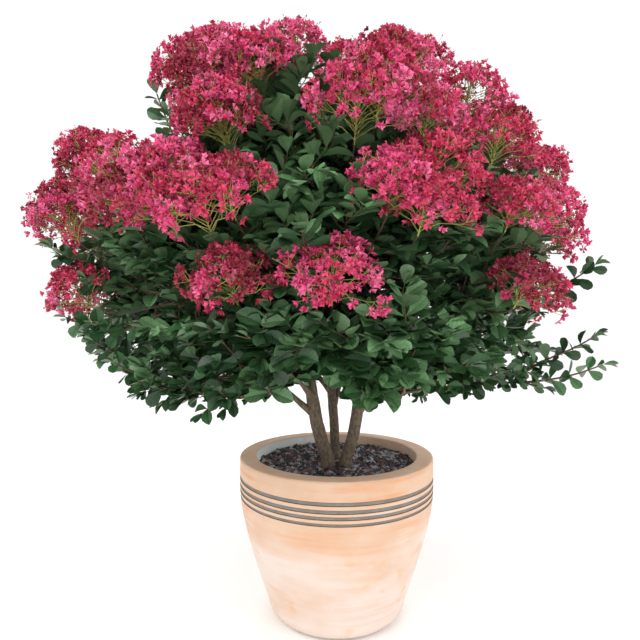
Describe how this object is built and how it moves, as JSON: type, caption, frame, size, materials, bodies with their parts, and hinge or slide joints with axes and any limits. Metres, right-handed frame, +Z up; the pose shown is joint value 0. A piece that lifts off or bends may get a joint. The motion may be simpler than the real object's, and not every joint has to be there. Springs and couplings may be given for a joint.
{
  "type": "potted crape myrtle",
  "caption": "Rounded multi-stemmed crape myrtle in full rose-red bloom over dark leaves, growing in a flared turned clay pot with banded grooves.",
  "frame": {"origin": "centre of the pot's flat underside, level with the ground it stands on", "axes": "+Z up the plant; -Y towards the side shown in the main view, +X to that view's right"},
  "size_m": [1.1966, 1.2355, 1.2961],
  "materials": {
    "terracotta": "matte",
    "mulch": "matte",
    "bark": "matte",
    "foliage": "satin",
    "blossom": "matte"
  },
  "bodies": {
    "root": {"pot": "terracotta", "soil": "mulch", "left_stem": "bark", "right_stem": "bark", "back_stem": "bark", "skirt_bough_1": "bark", "skirt_mass_1": "foliage", "skirt_bough_2": "bark", "skirt_mass_2": "foliage", "skirt_bough_3": "bark", "skirt_mass_3": "foliage", "skirt_bough_4": "bark", "skirt_mass_4": "foliage", "skirt_bough_5": "bark", "skirt_mass_5": "foliage", "skirt_bough_6": "bark", "skirt_mass_6": "foliage", "skirt_bough_7": "bark", "skirt_mass_7": "foliage", "skirt_bough_8": "bark", "skirt_mass_8": "foliage", "waist_bough_1": "bark", "waist_mass_1": "foliage", "waist_bough_2": "bark", "waist_mass_2": "foliage", "waist_bough_3": "bark", "waist_mass_3": "foliage", "waist_bough_4": "bark", "waist_mass_4": "foliage", "waist_bough_5": "bark", "waist_mass_5": "foliage", "waist_bough_6": "bark", "waist_mass_6": "foliage", "waist_bough_7": "bark", "waist_mass_7": "foliage", "waist_bough_8": "bark", "waist_mass_8": "foliage", "shoulder_bough_1": "bark", "shoulder_mass_1": "blossom", "shoulder_bough_2": "bark", "shoulder_mass_2": "blossom", "shoulder_bough_3": "bark", "shoulder_mass_3": "blossom", "shoulder_bough_4": "bark", "shoulder_mass_4": "blossom", "shoulder_bough_5": "bark", "shoulder_mass_5": "blossom", "shoulder_bough_6": "bark", "shoulder_mass_6": "blossom", "shoulder_bough_7": "bark", "shoulder_mass_7": "blossom", "top_mass_1": "blossom", "top_mass_2": "blossom", "top_mass_3": "blossom"}
  },
  "joints": []
}
